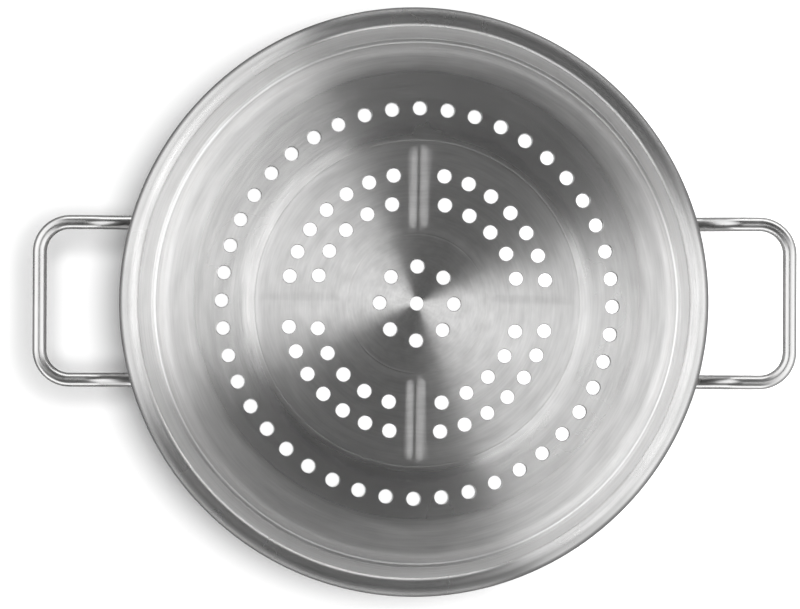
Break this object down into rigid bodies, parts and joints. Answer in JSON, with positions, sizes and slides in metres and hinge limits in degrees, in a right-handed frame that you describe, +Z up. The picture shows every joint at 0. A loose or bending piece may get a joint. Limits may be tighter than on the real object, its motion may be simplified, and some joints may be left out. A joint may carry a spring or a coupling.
{
  "type": "perforated pasta insert",
  "caption": "Shallow round stainless-steel steamer and pasta insert with rings of drain holes, a rolled rim, a seat step that drops into a stockpot, and welded wire loop handles.",
  "frame": {"origin": "centre of the flat ring of the base, on the surface that the insert stands on", "axes": "+X through the middle of the right-hand handle, +Z up along the pan's axis"},
  "size_m": [0.3284, 0.252, 0.095],
  "materials": {
    "brushed_sheet": "brushed round the axis",
    "polished_wire": "polished",
    "weld_metal": "ground weld"
  },
  "bodies": {
    "root": {"perforated_pan": "brushed_sheet", "wire_handle_left": "polished_wire", "wire_handle_right": "polished_wire", "weld_left_front": "weld_metal", "weld_left_back": "weld_metal", "weld_right_front": "weld_metal", "weld_right_back": "weld_metal"}
  },
  "joints": []
}
